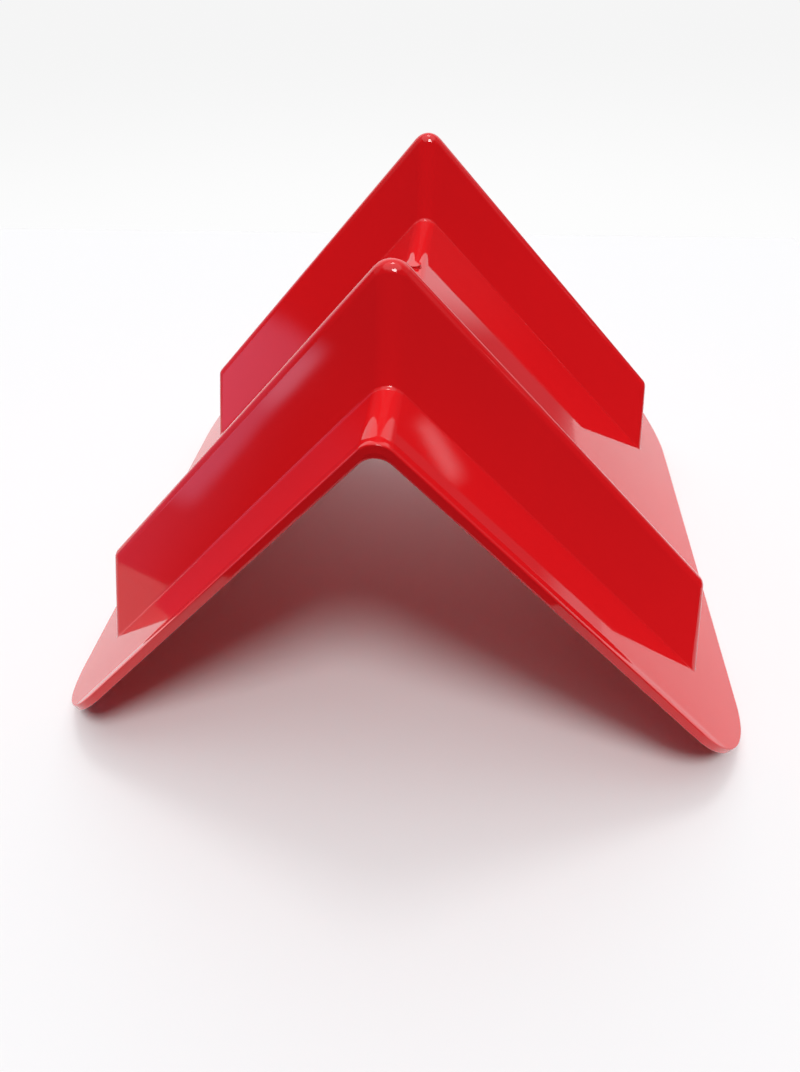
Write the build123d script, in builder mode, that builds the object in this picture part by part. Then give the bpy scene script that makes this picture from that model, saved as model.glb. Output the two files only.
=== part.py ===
from build123d import *
import os
from math import cos, radians, sin, tan

os.makedirs("parts", exist_ok=True)

# The folded sheet: two legs that meet at the ridge, in millimetres and degrees
leg_angle = 43.3
leg_length = 177.7
width = 231.0
wall = 3.0
ridge_radius_outside = 6.0
ridge_radius_inside = 5.5
corner_radius = 34.0
draft_setback = 0.45
draft_depth = 2.2
rim_radius_outside = 0.5
rim_radius_inside = 0.6

# The two hollow ribs, which keep the strap in its channel
rib_spacing = 137.7
rib_half_span = 102.5
rib_rise_at_ridge = 28.0
crest_angle = 42.9
crest_radius = 4.6
face_lean = 40.8
fold_radius = 8.0
root_radius = 1.2
cutting_depth = 26.0
share_of_wall = 0.75

# The gate mark, a low round stub on the middle of the ridge
gate_radius = 2.4
gate_rise = 0.9
gate_depth = 2.6
gate_rounding = 0.35

# How near an edge or a face has to be to a place or a length to be picked there
tolerance = 0.01

# Sines and cosines of the two slopes
leg_run = sin(radians(leg_angle))
leg_drop = cos(radians(leg_angle))
crest_run = sin(radians(crest_angle))
crest_drop = cos(radians(crest_angle))

# The floor is at height zero, where the rounded inner rim of each foot touches it
foot_lift = rim_radius_inside * (leg_run + leg_drop - 1)
ridge_height = leg_length * leg_drop + wall * leg_run - foot_lift
crest_height = ridge_height + rib_rise_at_ridge
gate_top = ridge_height - ridge_radius_outside * (1 / leg_run - 1) + gate_rise


def leg_point(distance, depth, side=1):
    """A point in the front view, that far down one leg and in from its outer face."""
    across = distance * leg_run - depth * leg_drop
    height = ridge_height - distance * leg_drop - depth * leg_run
    return (side * across, height)


def ridge_point(depth):
    """The point on the middle line where both legs are that far in from the outer face."""
    return (0, ridge_height - depth / leg_run)


def in_the_middle(edge):
    """Whether an edge has its centre on the middle plane, over the ridge."""
    return abs(edge.center().X) < tolerance


def crosses_the_wall(edge):
    """Whether an edge goes straight through the sheet, as at its four free corners."""
    return abs(edge.length - wall) < tolerance


def faces_outwards(face):
    """Whether a face is the outer face of the right leg."""
    return abs(face.normal_at().X - leg_drop) < tolerance


def faces_inwards(face):
    """Whether a face is the inner face of the right leg."""
    return abs(face.normal_at().X + leg_drop) < tolerance


def rib_form(skin):
    """One rib as a solid form, with its faces a skin away from a sharp core shape."""
    reach = cutting_depth - crest_radius
    half_base = reach * tan(radians(face_lean))
    across_the_crest = Plane(
        origin=(0, 0, crest_height - crest_radius / crest_run),
        x_dir=(0, 1, 0),
        z_dir=(crest_run, 0, -crest_drop),
    )
    with BuildPart() as rib:
        # A sharp triangular bar down one leg, cut off plumb and mitred at the ridge
        with BuildSketch(across_the_crest):
            with BuildLine():
                Polyline((0, 0), (-half_base, -reach), (half_base, -reach), close=True)
            make_face()
        extrude(amount=2 * leg_length, both=True)
        split(bisect_by=Plane.YZ, keep=Keep.TOP)
        split(bisect_by=Plane.YZ.offset(rib_half_span - crest_radius), keep=Keep.BOTTOM)
        mirror(about=Plane.YZ)
        # The fold in each long face is rounded, then the skin rounds crest and ends
        folds = rib.edges().filter_by(in_the_middle)
        fillet(folds.sort_by(Axis.Z)[-2:], fold_radius - crest_radius)
        offset(amount=skin)
    return rib.part


# The rib's outside stops within the sheet's wall, so that both join without a gap
with BuildPart() as rib_outside:
    add(rib_form(crest_radius))
    with BuildSketch(Plane.XZ):
        with BuildLine():
            Polyline(
                leg_point(leg_length, share_of_wall * wall),
                ridge_point(share_of_wall * wall),
                leg_point(leg_length, share_of_wall * wall, -1),
                close=True,
            )
        make_face()
    extrude(amount=rib_spacing / 2, both=True, mode=Mode.SUBTRACT)

rib_inside = rib_form(crest_radius - wall)

with BuildPart() as edge_protector:
    # The sheet, folded over the load's edge
    with BuildSketch(Plane.XZ):
        with BuildLine():
            Polyline(
                leg_point(leg_length, wall),
                leg_point(leg_length, 0),
                ridge_point(0),
                leg_point(leg_length, 0, -1),
                leg_point(leg_length, wall, -1),
                ridge_point(wall),
                close=True,
            )
        make_face()
    extrude(amount=width / 2, both=True)

    # Its ridge is rounded outside and inside, then its four free corners
    ridge_lines = edge_protector.edges().filter_by(Axis.Y).filter_by(in_the_middle)
    fillet(ridge_lines.sort_by(Axis.Z)[-1], ridge_radius_outside)
    ridge_lines = edge_protector.edges().filter_by(Axis.Y).filter_by(in_the_middle)
    fillet(ridge_lines.sort_by(Axis.Z)[0], ridge_radius_inside)
    fillet(edge_protector.edges().filter_by(crosses_the_wall), corner_radius)

    # The rim all round is drafted towards the outer face, and both its edges are rounded
    outer_face = edge_protector.faces().filter_by(faces_outwards).sort_by(Axis.X)[-1]
    chamfer(outer_face.edges().sort_by(Axis.Y)[0], draft_setback, draft_depth, reference=outer_face)
    outer_face = edge_protector.faces().filter_by(faces_outwards).sort_by(Axis.X)[-1]
    fillet(outer_face.edges().sort_by(Axis.Y)[0], rim_radius_outside)
    inner_face = edge_protector.faces().filter_by(faces_inwards).sort_by(Axis.X)[-1]
    fillet(inner_face.edges().sort_by(Axis.Y)[0], rim_radius_inside)

    # The ribs, with a small root radius where they rise from the sheet
    rib_places = [(0, -rib_spacing / 2, 0), (0, rib_spacing / 2, 0)]
    with Locations(rib_places):
        add(rib_outside.part)
    fillet(edge_protector.edges(Select.NEW), root_radius)

    # Each rib is hollow and open to the inside of the V
    with Locations(rib_places):
        add(rib_inside, mode=Mode.SUBTRACT)

    # The gate mark stands on the middle of the ridge, between the ribs
    with Locations((0, 0, gate_top)):
        Cylinder(gate_radius, gate_depth, align=(Align.CENTER, Align.CENTER, Align.MAX))
    gate_rim = edge_protector.edges(Select.NEW).sort_by(Axis.Z)[-1]
    fillet(gate_rim, gate_rounding)

edge_protector.part.label = "edge_protector"
export_step(edge_protector.part, "parts/edge_protector.step")
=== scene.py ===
import math

import bpy
from mathutils import Matrix, Vector

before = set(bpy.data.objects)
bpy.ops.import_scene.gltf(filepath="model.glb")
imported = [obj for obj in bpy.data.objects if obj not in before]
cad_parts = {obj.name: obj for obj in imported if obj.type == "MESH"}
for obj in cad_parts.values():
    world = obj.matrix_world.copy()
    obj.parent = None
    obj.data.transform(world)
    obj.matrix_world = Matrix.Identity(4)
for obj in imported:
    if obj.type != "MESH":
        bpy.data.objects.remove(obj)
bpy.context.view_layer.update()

# Camera, from the edge lines of the photograph: place in metres, angles in radians,
# lens and sensor in millimetres
CAMERA_PLACE = Vector((0.02365, -0.27382, 0.23083))
CAMERA_TURN = 0.11346
CAMERA_DOWN = 0.68431
CAMERA_ROLL = -0.02623
CAMERA_LENS = 35.661
CAMERA_SENSOR = 36.0


def photo_camera():
    """The camera, with its tilt down from the horizon, its turn and its roll."""
    camera_data = bpy.data.cameras.new("camera")
    camera_data.sensor_fit = "HORIZONTAL"
    camera_data.sensor_width = CAMERA_SENSOR
    camera_data.lens = CAMERA_LENS
    camera = bpy.data.objects.new("camera", camera_data)
    bpy.context.scene.collection.objects.link(camera)
    camera.matrix_world = (
        Matrix.Translation(CAMERA_PLACE)
        @ Matrix.Rotation(CAMERA_TURN, 4, "Z")
        @ Matrix.Rotation(math.pi / 2 - CAMERA_DOWN, 4, "X")
        @ Matrix.Rotation(CAMERA_ROLL, 4, "Z")
    )
    bpy.context.scene.camera = camera


def new_material(name):
    """A material and its shader."""
    material = bpy.data.materials.new(name)
    material.use_nodes = True
    return material, material.node_tree.nodes["Principled BSDF"]


def arithmetic(tree, operation, first, second=None):
    """A node of arithmetic on numbers or on other nodes' results."""
    node = tree.nodes.new("ShaderNodeMath")
    node.operation = operation
    for socket, value in zip(node.inputs, (first, second)):
        if value is None:
            continue
        if isinstance(value, (int, float)):
            socket.default_value = value
        else:
            tree.links.new(value, socket)
    return node.outputs["Value"]


def soft_step(tree, value, start, end, low=0.0, high=1.0):
    """Goes softly from low to high while the value goes from start to end."""
    node = tree.nodes.new("ShaderNodeMapRange")
    node.interpolation_type = "SMOOTHSTEP"
    tree.links.new(value, node.inputs["Value"])
    node.inputs["From Min"].default_value = start
    node.inputs["From Max"].default_value = end
    node.inputs["To Min"].default_value = low
    node.inputs["To Max"].default_value = high
    return node.outputs["Result"]


def soft_noise(tree, coordinates, scale, detail):
    """Soft noise, with so many lumps per metre."""
    node = tree.nodes.new("ShaderNodeTexNoise")
    tree.links.new(coordinates, node.inputs["Vector"])
    node.inputs["Scale"].default_value = scale
    node.inputs["Detail"].default_value = detail
    return node.outputs["Fac"]


def blended(tree, share, first, second):
    """A colour between two, which are colours or other nodes' results."""
    node = tree.nodes.new("ShaderNodeMix")
    node.data_type = "RGBA"
    tree.links.new(share, node.inputs["Factor"])
    for socket, colour in ((node.inputs["A"], first), (node.inputs["B"], second)):
        if isinstance(colour, tuple):
            socket.default_value = (*colour, 1)
        else:
            tree.links.new(colour, socket)
    return node.outputs["Result"]


def raised_by(tree, height):
    """A bump from a height in metres."""
    node = tree.nodes.new("ShaderNodeBump")
    node.inputs["Strength"].default_value = 1.0
    node.inputs["Distance"].default_value = 1.0
    tree.links.new(height, node.inputs["Height"])
    return node.outputs["Normal"]


# Red plastic: its colour, and how much lighter or darker it gets in clouds
PLASTIC_RED = (0.79, 0.0088, 0.0122)
PLASTIC_IOR = 1.46
TINT_CHANGE = 0.06
CLOUDS_PER_METRE = 14.0
CLOUD_DETAIL = 3.0

# Its gloss: how rough it is where the noise is below and above these levels
PATCHES_PER_METRE = 40.0
PATCH_DETAIL = 4.0
PATCH_LEVELS = (0.3, 0.7)
PLASTIC_ROUGHNESS = (0.02, 0.055)

# Its slow waves, and the lip near the front and rear rims, which starts and tops out
# at these distances from the middle, all in metres
WAVES_PER_METRE = 28.0
WAVE_DETAIL = 1.0
WAVE_HEIGHT = 0.00006
LIP_START = 0.1112
LIP_TOP = 0.1142
LIP_HEIGHT = 0.00022


def uneven_red(tree, coordinates):
    """The colour is a touch uneven, as the pigment spread when the part was moulded."""
    clouds = soft_noise(tree, coordinates, CLOUDS_PER_METRE, CLOUD_DETAIL)
    darker = tuple((1 - TINT_CHANGE) * part for part in PLASTIC_RED)
    lighter = tuple((1 + TINT_CHANGE) * part for part in PLASTIC_RED)
    return blended(tree, clouds, darker, lighter)


def uneven_gloss(tree, coordinates):
    """The gloss, a little duller in patches."""
    patches = soft_noise(tree, coordinates, PATCHES_PER_METRE, PATCH_DETAIL)
    return soft_step(tree, patches, *PATCH_LEVELS, *PLASTIC_ROUGHNESS)


def waves_and_lip(tree, coordinates):
    """Slow waves from the mould, and a lip that rises towards the front and rear rims."""
    waves = soft_noise(tree, coordinates, WAVES_PER_METRE, WAVE_DETAIL)
    wave_height = arithmetic(tree, "MULTIPLY", waves, WAVE_HEIGHT)
    split = tree.nodes.new("ShaderNodeSeparateXYZ")
    tree.links.new(coordinates, split.inputs["Vector"])
    from_middle = arithmetic(tree, "ABSOLUTE", split.outputs["Y"])
    lip = soft_step(tree, from_middle, LIP_START, LIP_TOP, 0.0, LIP_HEIGHT)
    return raised_by(tree, arithmetic(tree, "ADD", wave_height, lip))


def red_plastic():
    """Glossy red plastic, as it comes out of a polished mould."""
    material, shader = new_material("glossy_red_plastic")
    tree = material.node_tree
    coordinates = tree.nodes.new("ShaderNodeTexCoord").outputs["Object"]
    tree.links.new(uneven_red(tree, coordinates), shader.inputs["Base Color"])
    tree.links.new(uneven_gloss(tree, coordinates), shader.inputs["Roughness"])
    tree.links.new(waves_and_lip(tree, coordinates), shader.inputs["Normal"])
    shader.inputs["IOR"].default_value = PLASTIC_IOR
    return material


def dress_in(plastic):
    """Gives the part its material. Its mesh stays as it is."""
    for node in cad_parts.values():
        for slot in node.material_slots:
            slot.material = plastic


# The pale floor ends in front of the object and beside it, out of the camera's sight
FLOOR_LEFT = -0.6
FLOOR_RIGHT = 0.28
FLOOR_FRONT = -0.25
FLOOR_REAR = 0.42
FLOOR_WHITE = (0.87, 0.87, 0.87, 1)
FLOOR_ROUGHNESS = 0.7


def pale_floor():
    """The floor that the object stands on, so pale that it shows little but shadow."""
    bpy.ops.object.select_all(action="DESELECT")
    bpy.ops.mesh.primitive_plane_add(size=1)
    floor = bpy.context.object
    floor.name = "floor"
    floor.scale = (FLOOR_RIGHT - FLOOR_LEFT, FLOOR_REAR - FLOOR_FRONT, 1)
    floor.location = ((FLOOR_LEFT + FLOOR_RIGHT) / 2, (FLOOR_FRONT + FLOOR_REAR) / 2, 0)
    bpy.ops.object.transform_apply(location=True, rotation=False, scale=True)
    material, shader = new_material("pale_floor")
    shader.inputs["Base Color"].default_value = FLOOR_WHITE
    shader.inputs["Roughness"].default_value = FLOOR_ROUGHNESS
    floor.data.materials.append(material)


def soft_sun(name, towards, strength, spread):
    """A lamp far away in that direction, as wide as its spread in degrees."""
    light = bpy.data.lights.new(name, "SUN")
    light.energy = strength
    light.angle = math.radians(spread)
    lamp = bpy.data.objects.new(name, light)
    bpy.context.scene.collection.objects.link(lamp)
    lamp.rotation_euler = Vector(towards).to_track_quat("Z", "Y").to_euler()


# The room that the plastic mirrors, by direction in degrees. A turn of 0 is straight
# behind the object, 90 is its right side and -90 its left side, and a rise of 90 is
# straight above. Each patch of light has its range of turns, its range of rises, how
# soft its ends are in turn and in rise, and its colour.
ROOM_DARK = (0.03, 0.03, 0.034)
CEILING = ((-400, 400), (56, 95), 1, 6, (1.4, 1.4, 1.42))
REAR_WALL_MIDDLE = ((-52, 45), (16, 34), 6, 5, (1.0, 1.0, 1.01))
REAR_WALL_TOP = ((-52, 45), (34, 56), 6, 5, (0.6, 0.6, 0.61))
RIGHT_WALL_TOP = ((45, 95), (25, 60), 6, 5, (0.3, 0.3, 0.31))
LEFT_WALL_TOP = ((-95, -52), (25, 60), 6, 5, (0.3, 0.3, 0.31))
SMALL_LAMP = ((72.0, 73.2), (17.4, 22.0), 0.4, 1.0, (5.2, 4.9, 5.1))
REAR_WALL_LOW = ((-52, 23.5), (-95, 16), 2, 6, (0.9, 0.9, 0.92))
PALE_GROUND_RIGHT = ((23.5, 60), (-95, -8.5), 3, 1.5, (0.6, 0.6, 0.62))
RIGHT_WALL_LOW = ((23.5, 60), (-8.5, 16), 2, 2, (0.09, 0.09, 0.1))
LEFT_WALL_LOW = ((-105, -52), (-12, 14), 4, 3, (0.26, 0.24, 0.42))
WINDOW = ((-104.4, -94), (0.5, 14.5), 0.6, 1, (0.85, 0.78, 1.25))
WINDOW_SKY = ((-104.4, -103.2), (9.5, 14), 0.3, 1.5, (1.1, 1.0, 1.2))

# How far the window's sides lean, in degrees of turn per degree of rise
WINDOW_LEAN = 0.2


def within(tree, value, limits, soft):
    """Is 1 while the value is within its limits and 0 outside, with soft ends."""
    after_start = soft_step(tree, value, limits[0] - soft, limits[0] + soft)
    before_end = soft_step(tree, value, limits[1] - soft, limits[1] + soft, 1.0, 0.0)
    return arithmetic(tree, "MULTIPLY", after_start, before_end)


def patch_of_light(tree, turn, rise, patch, lean):
    """The light from one patch of the room, which leans where it is given a lean."""
    turns, rises, soft_turn, soft_rise, colour = patch
    leaning = arithmetic(tree, "ADD", turn, arithmetic(tree, "MULTIPLY", rise, lean))
    share = arithmetic(
        tree,
        "MULTIPLY",
        within(tree, leaning, turns, soft_turn),
        within(tree, rise, rises, soft_rise),
    )
    node = tree.nodes.new("ShaderNodeVectorMath")
    node.operation = "SCALE"
    node.inputs["Vector"].default_value = colour
    tree.links.new(share, node.inputs["Scale"])
    return node.outputs["Vector"]


def mirrored_room(tree, along):
    """The light that the room sends from each direction, from its patches together."""
    turn = arithmetic(tree, "ARCTAN2", along["X"], along["Y"])
    turn = arithmetic(tree, "DEGREES", turn)
    rise = arithmetic(tree, "DEGREES", arithmetic(tree, "ARCSINE", along["Z"]))
    upright = (
        CEILING,
        REAR_WALL_MIDDLE,
        REAR_WALL_TOP,
        RIGHT_WALL_TOP,
        LEFT_WALL_TOP,
        SMALL_LAMP,
        REAR_WALL_LOW,
        PALE_GROUND_RIGHT,
        RIGHT_WALL_LOW,
        LEFT_WALL_LOW,
    )
    lights = [patch_of_light(tree, turn, rise, patch, 0.0) for patch in upright]
    for patch in (WINDOW, WINDOW_SKY):
        lights.append(patch_of_light(tree, turn, rise, patch, WINDOW_LEAN))
    dark = tree.nodes.new("ShaderNodeCombineXYZ")
    for socket, part in zip(dark.inputs, ROOM_DARK):
        socket.default_value = part
    total = dark.outputs["Vector"]
    for light in lights:
        node = tree.nodes.new("ShaderNodeVectorMath")
        node.operation = "ADD"
        tree.links.new(total, node.inputs[0])
        tree.links.new(light, node.inputs[1])
        total = node.outputs["Vector"]
    return total


# The backdrop is white, and a little greyer above. Its heights are those of the line
# of sight, from -1 straight down to 1 straight up.
BACKDROP_HEIGHTS = (-0.31, -0.11)
BACKDROP_WHITES = (0.985, 0.915)


def surroundings():
    """The mirrored room lights the object, and the camera sees a white backdrop."""
    world = bpy.data.worlds.new("surroundings")
    world.use_nodes = True
    bpy.context.scene.world = world
    tree = world.node_tree
    direction = tree.nodes.new("ShaderNodeTexCoord").outputs["Generated"]
    split = tree.nodes.new("ShaderNodeSeparateXYZ")
    tree.links.new(direction, split.inputs["Vector"])
    room = mirrored_room(tree, split.outputs)
    backdrop = soft_step(tree, split.outputs["Z"], *BACKDROP_HEIGHTS, *BACKDROP_WHITES)
    seen = tree.nodes.new("ShaderNodeLightPath").outputs["Is Camera Ray"]
    light = blended(tree, seen, room, backdrop)
    tree.links.new(light, tree.nodes["Background"].inputs["Color"])


photo_camera()
dress_in(red_plastic())
pale_floor()
soft_sun("ceiling_in_front", towards=(0.16, -0.44, 0.88), strength=1.31, spread=18)
soft_sun("ceiling_behind", towards=(0.0, 0.36, 0.93), strength=0.37, spread=12)
surroundings()

bpy.context.scene.view_settings.view_transform = "Standard"
